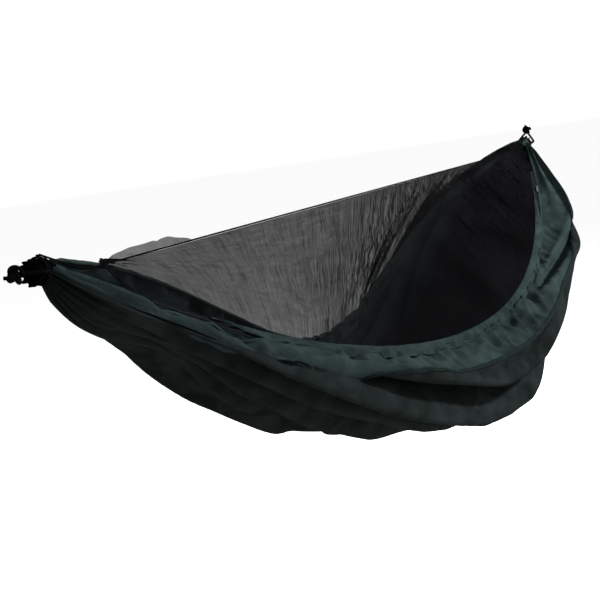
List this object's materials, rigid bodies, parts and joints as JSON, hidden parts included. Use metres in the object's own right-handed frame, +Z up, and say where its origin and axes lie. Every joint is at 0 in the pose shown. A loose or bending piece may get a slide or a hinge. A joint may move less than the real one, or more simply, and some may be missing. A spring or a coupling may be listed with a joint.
{
  "type": "camping hammock",
  "caption": "Gathered-end camping hammock in thin nylon with a built-in insect net on a ridge cord, a zipped net side and knotted end loops.",
  "frame": {"origin": "on the hang line through both gathered ends, midway between them", "axes": "+X from the left end to the right end along the hammock, +Z up, -Y towards the edge with the zip"},
  "size_m": [2.2606, 0.5344, 0.5659],
  "materials": {
    "bed_fabric": "thin dark green nylon, satin",
    "side_fabric": "thin dark green nylon, satin",
    "binding": "folded nylon tape",
    "insect_net": "fine black knitted net, see-through",
    "zip_tape": "woven black tape",
    "zip_coil": "black nylon coil",
    "zip_metal": "black enamel",
    "cord": "braided black cord"
  },
  "bodies": {
    "hammock": {"centre_panel": "bed_fabric", "near_side_panel": "side_fabric", "far_side_panel": "side_fabric", "near_hem_binding": "binding", "far_hem_binding": "binding", "far_net_panel": "insect_net", "left_net_corner": "insect_net", "right_net_corner": "insect_net", "lower_zip_tape": "zip_tape", "lower_zip_teeth": "zip_coil", "left_zip_stop": "zip_metal", "right_zip_stop": "zip_metal", "ridge_cord": "cord", "left_ridge_knot": "cord", "right_ridge_knot": "cord", "left_end_gather": "bed_fabric", "right_end_gather": "bed_fabric", "left_gather_lashing": "cord", "right_gather_lashing": "cord"},
    "net_door": {"near_net_panel": "insect_net", "upper_zip_tape": "zip_tape", "upper_zip_teeth": "zip_coil"},
    "zip_slider": {"zip_slider": "zip_metal"},
    "zip_pull": {"zip_pull": "zip_metal"},
    "left_loop": {"left_end_loop": "cord", "left_loop_knot": "cord"},
    "right_loop": {"right_end_loop": "cord", "right_loop_knot": "cord"}
  },
  "joints": [
    {"name": "net_door_lift", "type": "hinge", "parent": "hammock", "child": "net_door", "pos_m": [0, 0, -0.026], "axis": [-1, 0, 0], "range_deg": [0, 180]},
    {"name": "zip_run", "type": "hinge", "parent": "hammock", "child": "zip_slider", "pos_m": [0, 0.64075, 1.01938], "axis": [0, 0.8466, -0.5322], "range_deg": [0, 64.5]},
    {"name": "pull_flip", "type": "hinge", "parent": "zip_slider", "child": "zip_pull", "pos_m": [0.85852, -0.08729, -0.12778], "axis": [-0.5342, 0.4499, 0.7157], "range_deg": [0, 150]},
    {"name": "left_loop_swivel", "type": "hinge", "parent": "hammock", "child": "left_loop", "pos_m": [-1.08, 0, -0.012], "axis": [0, 1, 0], "range_deg": [-10, 35]},
    {"name": "right_loop_swivel", "type": "hinge", "parent": "hammock", "child": "right_loop", "pos_m": [1.08, 0, -0.012], "axis": [0, -1, 0], "range_deg": [-40, 30]}
  ]
}
